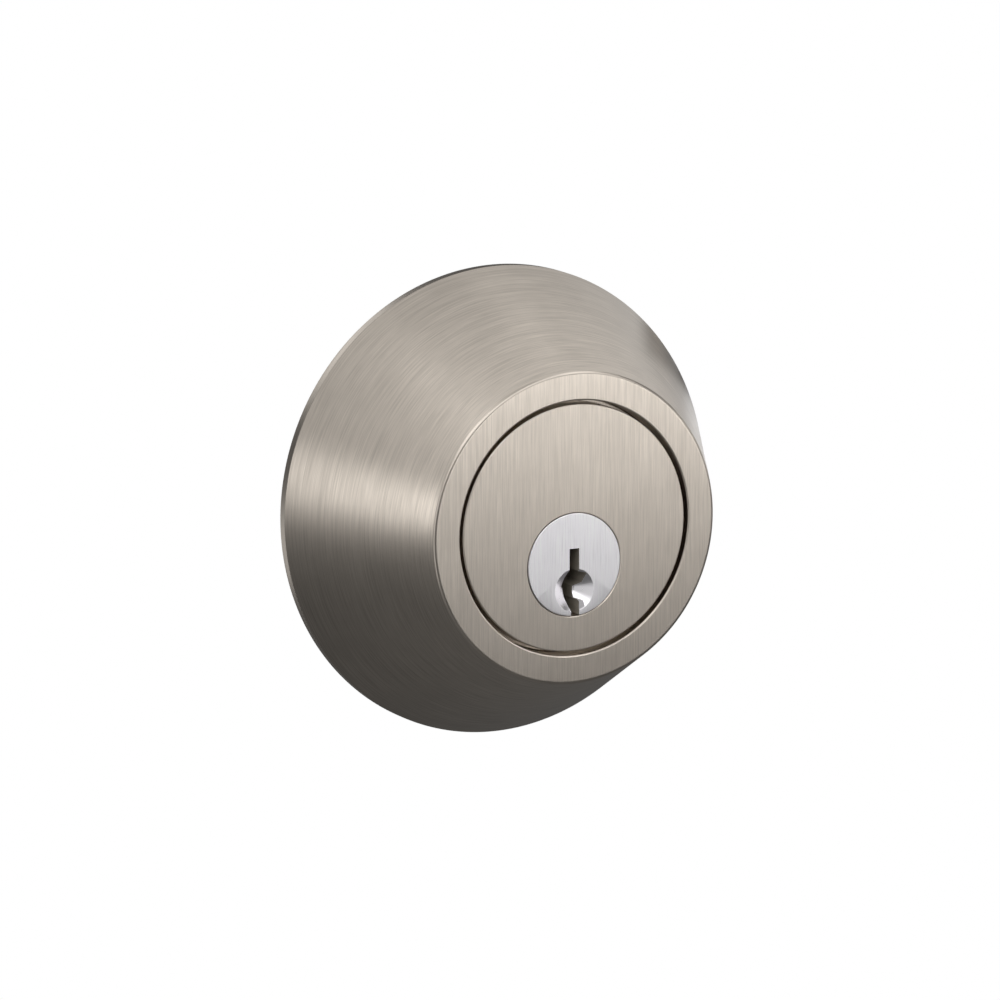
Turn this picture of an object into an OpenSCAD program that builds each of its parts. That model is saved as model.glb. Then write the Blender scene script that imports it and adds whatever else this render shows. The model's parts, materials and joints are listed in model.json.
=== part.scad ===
// Single-cylinder deadbolt door lock, as fitted to a door.
// Millimetres. The origin is the centre of the door's round bore on its outside face.
// -Y is outside, +Y is the room, +X runs to the door's edge and +Z is up.
// Everything is drawn with the bolt drawn back and the pins at the shear line.

/* [Door] */
// Thickness of the door
door_t = 44.45; // [42:0.05:48]
// Distance from the bore's centre to the door's edge
backset = 60.3; // [60.3:0.1:62]

/* [Outside collar] */
// Diameter of the collar against the door
collar_d = 65; // [64:0.5:68]
// Diameter of the collar's flat front face
collar_face_d = 42.6; // [41.6:0.1:44]
// How far the collar stands out from the door
collar_h = 23.7; // [23:0.1:25]
// Height of the straight edge round the collar's foot
collar_edge = 1.4; // [1:0.1:2]
// Diameter of the recess that the cylinder's head sits in
collar_recess_d = 34.9; // [34.7:0.1:35.5]

/* [Lock cylinder] */
// Diameter of the cylinder's head
head_d = 33.9; // [33.5:0.1:34.1]
// Diameter of the cylinder's barrel
shell_d = 30; // [29.6:0.1:30]
// Diameter of the key plug
plug_d = 14.1; // [13.9:0.05:14.1]
// How far the plug's centre lies below the bore's centre
plug_drop = 5; // [4.9:0.1:5.2]
// Distance from one pin to the next
pin_pitch = 3.97; // [3.9:0.01:4]
// Diameter of the pins
pin_d = 2.84; // [2.7:0.02:2.84]

/* [Bolt] */
// How far the bolt is thrown
bolt_throw = 25.4; // [24:0.1:25.4]
// Width of the bolt
bolt_w = 16; // [15:0.5:16]
// Diameter that rounds the bolt's top and bottom
bolt_d = 22.4; // [22:0.1:22.4]
// Height of the faceplate
faceplate_h = 57.2; // [56:0.2:58]
// Width of the faceplate
faceplate_w = 25.4; // [25.4:0.1:26]
// Distance between the faceplate's two screws
faceplate_screw_gap = 41.3; // [40:0.1:42]

/* [Inside turn] */
// Diameter of the inside rose
rose_d = 65; // [64:0.5:68]
// Depth of the inside rose
rose_h = 12; // [11.5:0.1:13]
// Length of the turn's wing
wing_l = 38; // [34:1:42]
// Thickness of the turn's wing
wing_t = 7; // [6:0.5:9]
// How far the turn stands out from the rose
wing_h = 18; // [16:1:22]

/* [Hidden] */

$fn = 96;
over = 1;            // how far a cut runs past the face that it opens
run = 0.05;          // radial clearance of a running fit
free = 0.3;          // clearance between pieces that only pass each other
cross_l = 4;         // length of a cross recess
cross_w = 0.8;       // width of a cross recess
cross_depth = 1;     // depth of a cross recess
axis_z = -plug_drop; // height of the plug's, crank's and turn's common axis

// Outside collar
collar_r = collar_d / 2;
collar_face_r = collar_face_d / 2;
collar_recess_r = collar_recess_d / 2;
collar_wall = 2.3;
collar_bevel = 0.2;
recess_h = 3.3;
land_h = 3;
front_y = -collar_h;
recess_y = front_y + recess_h;
land_y = recess_y + land_h;
cone_slope = (collar_r - collar_face_r) / (collar_h - collar_edge);
land_web_r = collar_face_r + (land_y - front_y) * cone_slope - collar_wall;

// Lock cylinder
head_r = head_d / 2;
shell_r = shell_d / 2;
plug_r = plug_d / 2;
plug_bore_fit = 0.07;
plug_bore_r = plug_r + plug_bore_fit;
pin_r = pin_d / 2;
pin_bore_fit = 0.04;
pin_bore_r = pin_r + pin_bore_fit;
head_y = front_y + 0.2;
head_back_y = recess_y - 0.1;
shell_back_y = 1.3;
first_pin = 5.87;
pins = [0:4];
function pin_y(i) = head_y + first_pin + i * pin_pitch;
key_pin_l = [4.2, 6.0, 5.0, 6.9, 5.5];
key_pin_low = 0.1;
key_pin_travel = 8.6;
key_pin_top = axis_z + plug_r - key_pin_low;
key_pin_floor = key_pin_top - key_pin_travel;
key_tip_h = 0.9;
key_tip_r = 0.5;
pin_bevel = 0.2;
driver_l = 4.4;
driver_gap = 0.02;
driver_z = axis_z + plug_r + driver_gap;
spring_top = 13.2;
spring_z = driver_z + driver_l;
spring_wire = 0.34;
spring_fit = 0.1;
spring_turns = 6;
post_z = 20;
post_r = 4.2;
post_l = 10;
screw_r = 2.35;
screw_fit = 0.05;
cover_w = 5;
cover_t = 1;
cover_gap = 0.4;
web_w = 6.4;
web_foot_z = 13;
drill_x = 8.8;
drill_y = head_y + 5.1;
drill_r = 1.2;
drill_top = 5;
drill_foot = -10.4;

// Keyway, measured from the plug's centre
key_top = 2.2;
key_half = 0.74;
ward_top = -1.2;
ward_low = -2.6;
ward_reach = 2.2;
key_waist = -4.2;
key_left = -1.1;
key_right = 0.9;
key_foot = 0.05;
guide_r = 2.85;
guide_drop = 3.3;
guide_h = 2;
keyway_back_y = 0.4;

// Plug tail, cap and tailpiece
tail_r = 6;
plug_back_y = 4;
cap_r = 8;
cap_back_y = 6.6;
cap_floor_y = 5.6;
cap_cavity_r = 5.2;
cap_hole_r = 3.8;
tail_disc_r = 4.6;
tail_flat = 3.2;
tail_disc_y = 4.3;
tail_disc_t = 1;
tab_r = 5;
tab_w = 4;
tab_h = 6;
tab_root = 0.5;
bar_w = 2.2;
bar_h = 6;
bar_fit = 0.1;
bar_end = 2.5;
bar_hole_end = 2;
cap_fit = 0.03;
cap_front_gap = 0.2;
cap_pin_r = 0.7;
cap_pin_l = 1.6;
cap_pin_hole = 3.2;
cap_spring_r = 0.45;
cap_spring_wire_r = 0.12;
cap_spring_turns = 3;
cap_pin_z = axis_z + 4.2;

// Bolt unit
mid_y = door_t / 2;
faceplate_t = 1.5;
backing_t = 1.6;
faceplate_r = 6.35;
face_screw_r = 2;
face_shank_r = 2.2;
face_screw_l = 19;
face_tip_l = 3;
face_screw_head_r = 4;
face_head_h = 1.4;
face_head_neck_r = 2.3;
face_sink_r = 2.6;
face_tip_r = 0.3;
sink_fit = 0.1;
plate_inset = 0.5;
backing_w = faceplate_w - 2 * plate_inset;
backing_h = faceplate_h - 2 * plate_inset;
screw_gap = 0.2;
unit_r = 12.5;
barrel_in_r = bolt_d / 2 + free;
barrel_front_x = backset - faceplate_t - backing_t;
barrel_back_x = 26;
barrel_wall = 1.9;
barrel_slot_fit = 1.4;
barrel_ledge = 3;
crank_r = bolt_throw / sqrt(2);
crank_hub_r = 5.2;
hub_gap = 0.2;
journal_r = 4;
journal_out = 0.6;
crank_pin_r = 1.6;
crank_pin_l = 10.4;
crank_arm_t = 4;
arm_r = 2.4;
face_thread_l = face_screw_l - faceplate_t - backing_t - screw_gap;
plate_t = 1.5;
plate_in = 5.8;
plate_out = plate_in + plate_t;
plate_back_x = -22;
plate_half_h = 10;
case_rivet_places = [[-18.5, -7], [16, -8], [22.5, 8]];
case_rivet_r = 1.4;
case_rivet_heads = 1;
pin_x = -bolt_throw / 2;
pin_z = axis_z + bolt_throw / 2;
link_in = 2.6;
link_out = 4.6;
link_slot = 2 * crank_pin_r + 1.5;
link_ear = 3.5;
link_back_x = pin_x - link_slot / 2 - link_ear;
link_bridge_t = 1.5;
link_bridge_z = 7;
link_low = 1;
link_floor = 5.4;
link_top = 11.5;
link_step_x = 6.5;
link_front_x = 27.4;
link_front_low = -6;
link_front_top = 6;
tongue_x = 15.8;
tongue_half = 2.5;
bolt_back_gap = 0.4;
bolt_back_x = barrel_back_x + barrel_wall + bolt_back_gap;
rivet_r = 1.5;
rivet_x = 20;
rivet_gap = 6;
rivet_half_l = link_out + 0.4;
insert_r = 3;
insert_l = 25.8;
insert_gap = 0.1;
insert_x = backset - insert_l - 4.1;

// Inside turn
rose_r = rose_d / 2;
rose_face_r = 27;
rose_edge = 2.5;
rose_wall = 1.6;
rose_y = door_t + rose_h;
mount_t = 2;
mount_r = 29.5;
mount_hole_r = 9;
screw_depth = 9.5;
screw_head_r = 4.4;
screw_head_y = door_t + mount_t + 2.6;
boss_r = 9.5;
boss_y = door_t + 5.4;
spindle_r = 6;
spindle_end = 0.5;
ring_groove = 0.5;
ring_t = 1;
ring_play = 0.05;
ring_over = 1.8;
ring_mouth = 3;
ring_grip = 0.02;
groove_y = boss_y - ring_t - free;
turn_gap = 0.4;
washer_inset = 0.5;
turn_y = rose_y + turn_gap;
turn_foot_r = 9.5;
turn_foot_h = 3;
turn_neck_h = 2.5;
turn_neck_over = 2;
rose_screw_x = 22;
rose_screw_r = 1.9;
rose_screw_head_r = 3.6;
rose_screw_head_h = 1.7;
rose_sink_h = 2;
rose_post_r = 3.2;

// Extrudes a shape drawn in X and Z between two places on Y.
module slab(y0, y1) {
    translate([0, y1, 0]) rotate([90, 0, 0]) linear_extrude(y1 - y0) children();
}

// Extrudes a shape drawn in Y and Z, about the bolt's own centre, between two places on X.
module bar(x0, x1) {
    translate([x0, mid_y, 0]) rotate([90, 0, 90]) linear_extrude(x1 - x0) children();
}

// Turns a profile of radius and Y about the Y axis.
module turned() {
    rotate([-90, 0, 0]) rotate_extrude($fn = 180) children();
}

// Moves its children to the plug's axis.
module on_axis() {
    translate([0, 0, axis_z]) children();
}

// Rectangle with round corners, centred.
module round_rect(w, h, r) {
    square([w - 2 * r, h], center = true);
    square([w, h - 2 * r], center = true);
    for (x = [-1, 1], z = [-1, 1]) {
        translate([x * (w / 2 - r), z * (h / 2 - r)]) circle(r);
    }
}

// Cross recess of a screw head, standing on the origin.
module cross() {
    for (turn = [0, 90]) {
        rotate(turn) translate([-cross_l / 2, -cross_w / 2, 0]) cube([cross_l, cross_w, cross_depth + over]);
    }
}

// Coil spring standing on the origin.
module coil(r, wire_r, h, turns) {
    sides = 6;
    steps = turns * 12;
    function ring(s) =
        let (a = 30 * s, z = wire_r + (h - 2 * wire_r) * s / steps)
        [for (k = [0 : sides - 1])
            let (t = 360 * k / sides, q = r + wire_r * cos(t))
            [q * cos(a), q * sin(a), z + wire_r * sin(t)]];
    points = [for (s = [0 : steps]) each ring(s)];
    skin = [for (s = [0 : steps - 1], k = [0 : sides - 1])
        let (n = (k + 1) % sides, a = s * sides)
        [a + k, a + sides + k, a + sides + n, a + n]];
    start = [[for (k = [0 : sides - 1]) k]];
    end = [[for (k = [sides - 1 : -1 : 0]) steps * sides + k]];
    polyhedron(points, concat(skin, start, end));
}

// ---- Outside ----

module trim_ring() {
    color("tan") turned() polygon([
        [collar_recess_r, front_y],
        [collar_face_r - collar_bevel, front_y],
        [collar_face_r + collar_bevel * cone_slope, front_y + collar_bevel],
        [collar_r, -collar_edge],
        [collar_r, 0],
        [collar_r - collar_wall, 0],
        [collar_r - collar_wall, -collar_edge],
        [land_web_r, land_y],
        [shell_r + run, land_y],
        [shell_r + run, recess_y],
        [collar_recess_r, recess_y]
    ]);
}

module cylinder_body() {
    color("wheat") difference() {
        union() {
            slab(head_y, head_back_y) circle(head_r, $fn = 180);
            slab(head_back_y, shell_back_y) difference() {
                circle(shell_r, $fn = 180);
                translate([-cover_w / 2, spring_top]) square([cover_w, shell_r]);
            }
            for (side = [-1, 1]) {
                slab(-post_l, 0) translate([0, side * post_z]) circle(post_r);
                slab(-post_l, 0) translate([0, side * (post_z + web_foot_z) / 2])
                    square([web_w, post_z - web_foot_z], center = true);
            }
        }
        on_axis() slab(head_y - over, shell_back_y + over) circle(plug_bore_r);
        for (i = pins) {
            translate([0, pin_y(i), axis_z]) cylinder(h = spring_top - axis_z, r = pin_bore_r);
        }
        slab(head_back_y - cover_gap, shell_back_y + over) translate([-cover_w / 2, spring_top])
            square([cover_w, cover_t]);
        for (side = [-1, 1]) {
            slab(-post_l - over, over) translate([0, side * post_z]) circle(screw_r + screw_fit);
            translate([side * drill_x, drill_y, -shell_r])
                cylinder(h = shell_r + drill_top, r = drill_r + run);
        }
    }
}

module chamber_cover() {
    color("gold") slab(head_back_y, shell_back_y) translate([-cover_w / 2, spring_top])
        square([cover_w, cover_t]);
}

module drill_pins() {
    color("dimgray") for (side = [-1, 1]) {
        translate([side * drill_x, drill_y, drill_foot])
            cylinder(h = drill_top - drill_foot, r = drill_r);
    }
}

module keyway() {
    polygon([
        [-key_half, key_top],
        [key_half, key_top],
        [key_half, ward_top],
        [ward_reach, ward_top],
        [ward_reach, ward_low],
        [key_right, ward_low],
        [key_right, key_waist],
        [key_foot, key_waist],
        [key_foot, -plug_r - over],
        [key_left, -plug_r - over],
        [key_left, ward_top],
        [-key_half, ward_top]
    ]);
}

module plug() {
    color("silver") difference() {
        union() {
            on_axis() slab(head_y, shell_back_y + cap_front_gap / 2) circle(plug_r);
            on_axis() slab(shell_back_y, plug_back_y) circle(tail_r);
            on_axis() slab(plug_back_y - tab_root, cap_floor_y - free) intersection() {
                circle(tab_r);
                for (side = [-1, 1]) {
                    translate([side * (tail_flat + free + tab_w / 2), 0])
                        square([tab_w, tab_h], center = true);
                }
            }
        }
        on_axis() slab(head_y - over, keyway_back_y) keyway();
        on_axis() slab(head_y - over, head_y + guide_h) translate([0, -guide_drop]) circle(guide_r);
        for (i = pins) {
            translate([0, pin_y(i), key_pin_floor]) cylinder(h = plug_d, r = pin_bore_r);
        }
        translate([0, 0, cap_pin_z]) slab(plug_back_y - cap_pin_hole, plug_back_y + over)
            circle(cap_pin_r + run);
    }
}

module key_pin(i) {
    l = key_pin_l[i];
    color("gold") translate([0, pin_y(i), key_pin_top - l]) {
        cylinder(h = key_tip_h, r1 = key_tip_r, r2 = pin_r);
        translate([0, 0, key_tip_h]) cylinder(h = l - key_tip_h - pin_bevel, r = pin_r);
        translate([0, 0, l - pin_bevel]) cylinder(h = pin_bevel, r1 = pin_r, r2 = pin_r - pin_bevel);
    }
}

module driver_pin(i) {
    color("gainsboro") translate([0, pin_y(i), driver_z]) cylinder(h = driver_l, r = pin_r);
}

module pin_spring(i) {
    color("lightsteelblue") translate([0, pin_y(i), spring_z])
        coil(pin_r - spring_wire / 2 - spring_fit, spring_wire / 2, spring_top - spring_z, spring_turns);
}

module retainer_cap() {
    color("goldenrod") on_axis() difference() {
        slab(shell_back_y + cap_front_gap, cap_back_y) circle(cap_r);
        slab(shell_back_y, plug_back_y) circle(tail_r + cap_fit);
        slab(plug_back_y - over, cap_floor_y) circle(cap_cavity_r);
        slab(cap_floor_y - over, cap_back_y + over) circle(cap_hole_r);
    }
}

module cap_pin() {
    color("gainsboro") translate([0, 0, cap_pin_z]) slab(plug_back_y - cap_pin_l, plug_back_y)
        circle(cap_pin_r);
}

module cap_pin_spring() {
    color("lightsteelblue") translate([0, plug_back_y - cap_pin_hole, cap_pin_z]) rotate([-90, 0, 0])
        coil(cap_spring_r, cap_spring_wire_r, cap_pin_hole - cap_pin_l, cap_spring_turns);
}

module tailpiece() {
    color("lightgray") on_axis() {
        slab(tail_disc_y, tail_disc_y + tail_disc_t) intersection() {
            circle(tail_disc_r);
            square([2 * tail_flat, 2 * tail_disc_r + over], center = true);
        }
        slab(tail_disc_y + tail_disc_t / 2, rose_y - bar_end) square([bar_w, bar_h], center = true);
    }
}

// ---- Bolt in the door's edge ----

module bolt_section(gap) {
    intersection() {
        circle(bolt_d / 2 + gap, $fn = 120);
        square([bolt_w + 2 * gap, bolt_d + 2 * gap + over], center = true);
    }
}

module screw_places() {
    for (side = [-1, 1]) {
        translate([0, mid_y, side * faceplate_screw_gap / 2]) rotate([0, 90, 0]) children();
    }
}

module faceplate() {
    color("wheat") difference() {
        bar(backset - faceplate_t, backset) difference() {
            round_rect(faceplate_w, faceplate_h, faceplate_r);
            bolt_section(free);
        }
        screw_places() translate([0, 0, backset - faceplate_t])
            cylinder(h = faceplate_t, r1 = face_sink_r, r2 = face_screw_head_r + sink_fit);
    }
}

module backing_plate() {
    color("silver") difference() {
        bar(barrel_front_x, backset - faceplate_t) difference() {
            round_rect(backing_w, backing_h, faceplate_r - plate_inset);
            bolt_section(free);
        }
        screw_places() translate([0, 0, barrel_front_x - over])
            cylinder(h = backing_t + 2 * over, r = face_shank_r + screw_gap);
    }
}

module faceplate_screws() {
    color("wheat") screw_places() translate([0, 0, backset - face_screw_l]) difference() {
        union() {
            cylinder(h = face_tip_l, r1 = face_tip_r, r2 = face_screw_r);
            translate([0, 0, face_tip_l]) cylinder(h = face_thread_l - face_tip_l, r = face_screw_r);
            translate([0, 0, face_thread_l])
                cylinder(h = face_screw_l - face_thread_l - cross_depth, r = face_shank_r);
            translate([0, 0, face_screw_l - face_head_h])
                cylinder(h = face_head_h, r1 = face_head_neck_r, r2 = face_screw_head_r);
        }
        translate([0, 0, face_screw_l - cross_depth]) cross();
    }
}

module barrel() {
    color("silver") {
        bar(barrel_back_x + barrel_wall, barrel_front_x) difference() {
            circle(unit_r, $fn = 120);
            circle(barrel_in_r, $fn = 120);
        }
        bar(barrel_back_x, barrel_back_x + barrel_wall) difference() {
            circle(unit_r, $fn = 120);
            square([2 * link_out + barrel_slot_fit, 2 * barrel_in_r - barrel_ledge], center = true);
        }
    }
}

module rivet_places(grow) {
    for (place = case_rivet_places) {
        translate([place[0], mid_y, place[1]]) rotate([-90, 0, 0])
            cylinder(h = 2 * plate_out + grow, r = case_rivet_r, center = true);
    }
}

module case_plate(side) {
    y0 = side > 0 ? mid_y + plate_in : mid_y - plate_out;
    color("darkgray") difference() {
        slab(y0, y0 + plate_t) translate([plate_back_x, -plate_half_h])
            square([barrel_back_x - plate_back_x, 2 * plate_half_h]);
        on_axis() slab(y0 - over, y0 + plate_t + over) circle(journal_r + run);
        rivet_places(2 * over);
    }
}

module case_rivets() {
    color("gray") rivet_places(case_rivet_heads);
}

module crank() {
    color("peru") on_axis() difference() {
        union() {
            slab(mid_y - plate_in + hub_gap, mid_y + plate_in - hub_gap) circle(crank_hub_r);
            slab(mid_y - plate_out - journal_out, mid_y + plate_out + journal_out) circle(journal_r);
            slab(mid_y - crank_arm_t / 2, mid_y + crank_arm_t / 2) rotate(45) {
                translate([-arm_r, 0]) square([2 * arm_r, crank_r]);
                translate([0, crank_r]) circle(arm_r);
            }
        }
        slab(mid_y - 2 * plate_out, mid_y + 2 * plate_out)
            square([bar_w + 2 * bar_fit, bar_h + 2 * bar_fit], center = true);
        translate([pin_x, 0, bolt_throw / 2]) slab(mid_y - crank_arm_t, mid_y + crank_arm_t)
            circle(crank_pin_r);
    }
}

module crank_pin() {
    color("silver") translate([pin_x, 0, pin_z]) slab(mid_y - crank_pin_l / 2, mid_y + crank_pin_l / 2)
        circle(crank_pin_r);
}

module link_side() {
    difference() {
        polygon([
            [link_back_x, link_low],
            [link_step_x, link_low],
            [link_step_x, link_front_low],
            [link_front_x, link_front_low],
            [link_front_x, link_front_top],
            [link_step_x, link_front_top],
            [pin_x + link_slot / 2 + link_ear, link_front_top],
            [pin_x + link_slot / 2 + link_ear, link_top],
            [link_back_x, link_top]
        ]);
        translate([pin_x - link_slot / 2, link_floor]) square([link_slot, link_top]);
        for (side = [-1, 1]) {
            translate([rivet_x, side * rivet_gap / 2]) circle(rivet_r);
        }
    }
}

module bolt_link() {
    color("lightslategray") {
        slab(mid_y - link_out, mid_y - link_in) link_side();
        slab(mid_y + link_in, mid_y + link_out) link_side();
        slab(mid_y - link_out, mid_y + link_out) translate([link_back_x - link_bridge_t, link_bridge_z])
            square([link_bridge_t, link_top - link_bridge_z]);
    }
}

module link_rivets() {
    color("silver") for (side = [-1, 1]) {
        translate([rivet_x, 0, side * rivet_gap / 2]) slab(mid_y - rivet_half_l, mid_y + rivet_half_l)
            circle(rivet_r);
    }
}

module bolt() {
    color("gainsboro") difference() {
        union() {
            bar(bolt_back_x, backset) bolt_section(0);
            slab(mid_y - tongue_half, mid_y + tongue_half) translate([tongue_x, link_front_low])
                square([bolt_back_x + over - tongue_x, link_front_top - link_front_low]);
        }
        for (side = [-1, 1]) {
            translate([rivet_x, 0, side * rivet_gap / 2]) slab(mid_y - bolt_w, mid_y + bolt_w)
                circle(rivet_r);
        }
        bar(insert_x - insert_gap, insert_x + insert_l + insert_gap) circle(insert_r + run);
    }
}

module bolt_insert() {
    color("dimgray") bar(insert_x, insert_x + insert_l) circle(insert_r);
}

// ---- Inside ----

module mounting_plate() {
    color("silver") difference() {
        slab(door_t, door_t + mount_t) circle(mount_r);
        on_axis() slab(door_t - over, door_t + mount_t + over) circle(mount_hole_r);
        for (side = [-1, 1]) {
            slab(door_t - over, door_t + mount_t + over) translate([0, side * post_z])
                circle(screw_r + screw_gap);
            slab(door_t - over, door_t + mount_t + over) translate([side * rose_screw_x, 0])
                circle(rose_screw_r + screw_fit);
        }
    }
}

module through_screws() {
    color("lightgray") for (side = [-1, 1]) {
        translate([0, 0, side * post_z]) difference() {
            union() {
                slab(-screw_depth, door_t + mount_t) circle(screw_r);
                slab(door_t + mount_t, screw_head_y) circle(screw_head_r);
            }
            translate([0, screw_head_y - cross_depth, 0]) rotate([-90, 0, 0]) cross();
        }
    }
}

module interior_rose() {
    color("wheat") difference() {
        union() {
            turned() polygon([
                [0, rose_y],
                [rose_face_r, rose_y],
                [rose_r, door_t + rose_edge],
                [rose_r, door_t],
                [rose_r - rose_wall, door_t],
                [rose_r - rose_wall, door_t + rose_edge],
                [rose_face_r - rose_wall, rose_y - rose_wall],
                [0, rose_y - rose_wall]
            ]);
            on_axis() slab(boss_y, rose_y - rose_wall / 2) circle(boss_r);
            for (side = [-1, 1]) {
                slab(door_t + mount_t, rose_y - rose_wall / 2) translate([side * rose_screw_x, 0])
                    circle(rose_post_r);
            }
        }
        on_axis() slab(door_t, rose_y + over) circle(spindle_r + run);
        for (side = [-1, 1]) {
            slab(door_t, rose_y + over) translate([side * rose_screw_x, 0])
                circle(rose_screw_r + screw_gap);
            translate([side * rose_screw_x, rose_y, 0]) rotate([90, 0, 0])
                cylinder(h = rose_sink_h, r1 = rose_screw_head_r + sink_fit, r2 = rose_screw_r + sink_fit);
        }
    }
}

module rose_screws() {
    color("wheat") for (side = [-1, 1]) {
        translate([side * rose_screw_x, rose_y - sink_fit, 0]) rotate([90, 0, 0]) difference() {
            union() {
                cylinder(h = rose_screw_head_h, r1 = rose_screw_head_r, r2 = rose_screw_r);
                cylinder(h = rose_h, r = rose_screw_r);
            }
            translate([0, 0, cross_depth]) mirror([0, 0, 1]) cross();
        }
    }
}

module thumbturn() {
    color("wheat") on_axis() {
        slab(turn_y, turn_y + turn_foot_h) circle(turn_foot_r);
        slab(turn_y + turn_foot_h, turn_y + turn_foot_h + turn_neck_h) circle(wing_t / 2 + turn_neck_over);
        translate([-wing_t / 2, turn_y + wing_h - wing_t, 0]) rotate([90, 0, 90])
            linear_extrude(wing_t) {
                square([2 * wing_t, wing_l - wing_t], center = true);
                square([wing_t, wing_l], center = true);
                for (y = [-1, 1], z = [-1, 1]) {
                    translate([y * wing_t / 2, z * (wing_l - wing_t) / 2]) circle(wing_t / 2);
                }
            }
    }
}

module turn_spindle() {
    color("silver") on_axis() difference() {
        slab(groove_y - spindle_end, turn_y) circle(spindle_r);
        slab(groove_y, groove_y + ring_t) difference() {
            circle(spindle_r + over);
            circle(spindle_r - ring_groove);
        }
        slab(door_t, rose_y - bar_hole_end) square([bar_w + 2 * bar_fit, bar_h + 2 * bar_fit], center = true);
    }
}

module turn_washer() {
    color("white") on_axis() slab(rose_y, turn_y) difference() {
        circle(turn_foot_r - washer_inset);
        circle(spindle_r + free);
    }
}

module retaining_ring() {
    color("dimgray") on_axis() slab(groove_y + ring_play, groove_y + ring_t - ring_play) difference() {
        circle(spindle_r + ring_over);
        circle(spindle_r - ring_groove + ring_grip);
        translate([0, -spindle_r]) square([ring_mouth, 2 * spindle_r], center = true);
    }
}

trim_ring();
cylinder_body();
plug();
for (i = pins) {
    key_pin(i);
    driver_pin(i);
    pin_spring(i);
}
chamber_cover();
drill_pins();
retainer_cap();
cap_pin();
cap_pin_spring();
tailpiece();
faceplate();
backing_plate();
faceplate_screws();
barrel();
case_plate(-1);  // case_plate_outside
case_plate(1);  // case_plate_inside
case_rivets();
crank();
crank_pin();
bolt_link();
link_rivets();
bolt();
bolt_insert();
mounting_plate();
through_screws();
interior_rose();
rose_screws();
thumbturn();
turn_spindle();
turn_washer();
retaining_ring();
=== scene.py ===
"""Deadbolt door lock in satin nickel: looks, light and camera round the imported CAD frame.

Lengths are in metres unless a comment says otherwise. -Y is outside the door, +Y is the room,
+X is the door's edge and +Z is up.
"""

import json
import math

import bmesh
import bpy
from mathutils import Matrix, Vector


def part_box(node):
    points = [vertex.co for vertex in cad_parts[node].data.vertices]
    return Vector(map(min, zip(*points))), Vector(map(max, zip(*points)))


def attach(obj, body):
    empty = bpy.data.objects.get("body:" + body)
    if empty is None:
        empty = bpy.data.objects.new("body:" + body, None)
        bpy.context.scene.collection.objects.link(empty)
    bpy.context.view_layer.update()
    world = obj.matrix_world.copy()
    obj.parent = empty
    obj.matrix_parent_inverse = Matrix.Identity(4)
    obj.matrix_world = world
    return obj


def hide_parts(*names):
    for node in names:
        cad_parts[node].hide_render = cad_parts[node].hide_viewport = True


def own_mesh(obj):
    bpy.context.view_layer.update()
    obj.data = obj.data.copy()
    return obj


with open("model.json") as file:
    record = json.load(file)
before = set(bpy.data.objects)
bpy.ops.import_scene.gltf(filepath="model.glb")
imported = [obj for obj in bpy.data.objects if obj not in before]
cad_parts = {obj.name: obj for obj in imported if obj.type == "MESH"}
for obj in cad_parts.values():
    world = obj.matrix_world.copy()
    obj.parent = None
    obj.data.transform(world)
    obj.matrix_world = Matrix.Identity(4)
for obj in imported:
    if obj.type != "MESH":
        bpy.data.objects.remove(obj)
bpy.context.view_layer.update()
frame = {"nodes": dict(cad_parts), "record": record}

MM = 0.001
STEPS = 256  # sides of a large turned surface
SMALL_STEPS = 96  # sides of a small turned surface
ROD_STEPS = 48  # sides of a post, pin or screw hole

# ---- Sizes read from the frame, in metres ----

collar_low, collar_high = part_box("trim_ring")
head_low, head_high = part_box("cylinder_body")
plug_low, plug_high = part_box("plug")
plate_low, plate_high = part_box("faceplate")
rose_low, rose_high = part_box("interior_rose")

COLLAR_R = collar_high.x
COLLAR_FACE_Y = collar_low.y
HEAD_R = head_high.x
HEAD_Y = head_low.y
PLUG_R = plug_high.x
PLUG_Z = (plug_low.z + plug_high.z) / 2
DOOR_EDGE_X = plate_high.x
DOOR_T = rose_low.y

# ---- Sizes of the details, in metres ----

COLLAR_FACE_R = 21.3 * MM
COLLAR_EDGE = 1.4 * MM
COLLAR_RECESS_R = 17.45 * MM
COLLAR_RECESS_H = 3.3 * MM
COLLAR_LAND_R = 15.05 * MM
COLLAR_LAND_H = 3 * MM
COLLAR_WALL = 2.3 * MM
COLLAR_FRONT_Y = -20 * MM  # only the collar's front face is farther out
SHELL_R = 15 * MM
HEAD_T = 3 * MM
POST_Z = 20 * MM
POST_R = 4.2 * MM
POST_L = 10 * MM
WEB_W = 6.4 * MM
WEB_FOOT_Z = 13 * MM
COVER_W = 5 * MM
COVER_T = 1 * MM
PIN_COUNT = 5
PIN_TOP_Z = 13.2 * MM
PIN_BORE_R = 1.46 * MM
KEY_PIN_FLOOR_Z = -6.65 * MM
SCREW_BORE_R = 2.4 * MM
DRILL_X = 8.8 * MM
DRILL_Y = -18.4 * MM
DRILL_TOP_Z = 5 * MM
DRILL_BORE_R = 1.25 * MM
ROSE_FACE_R = 27 * MM
ROSE_EDGE = 2.5 * MM
ROSE_WALL = 1.6 * MM
BOSS_R = 9.5 * MM
BOSS_Y = DOOR_T + 5.4 * MM
SPINDLE_BORE_R = 6.05 * MM
ROSE_SCREW_X = 22 * MM
ROSE_POST_R = 3.2 * MM
ROSE_HOLE_R = 2.1 * MM
ROSE_SINK_R = 3.7 * MM
ROSE_SINK_H = 2 * MM
SINK_PAST = 0.01 * MM
MOUNT_T = 2 * MM
TURN_FOOT_H = 3 * MM
TURN_NECK_R = 5.5 * MM
TURN_CORNER_R = 3.5 * MM
WING_DEPTH = 14 * MM
WING_T = 7 * MM
WING_ROUNDING = 1.3 * MM
NECK_TIP = 0.9  # the neck's radius at the wing, as a part of half the wing's thickness
NECK_TAPER_Y = 1.2 * MM  # how far inside the wing the neck's taper ends
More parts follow.
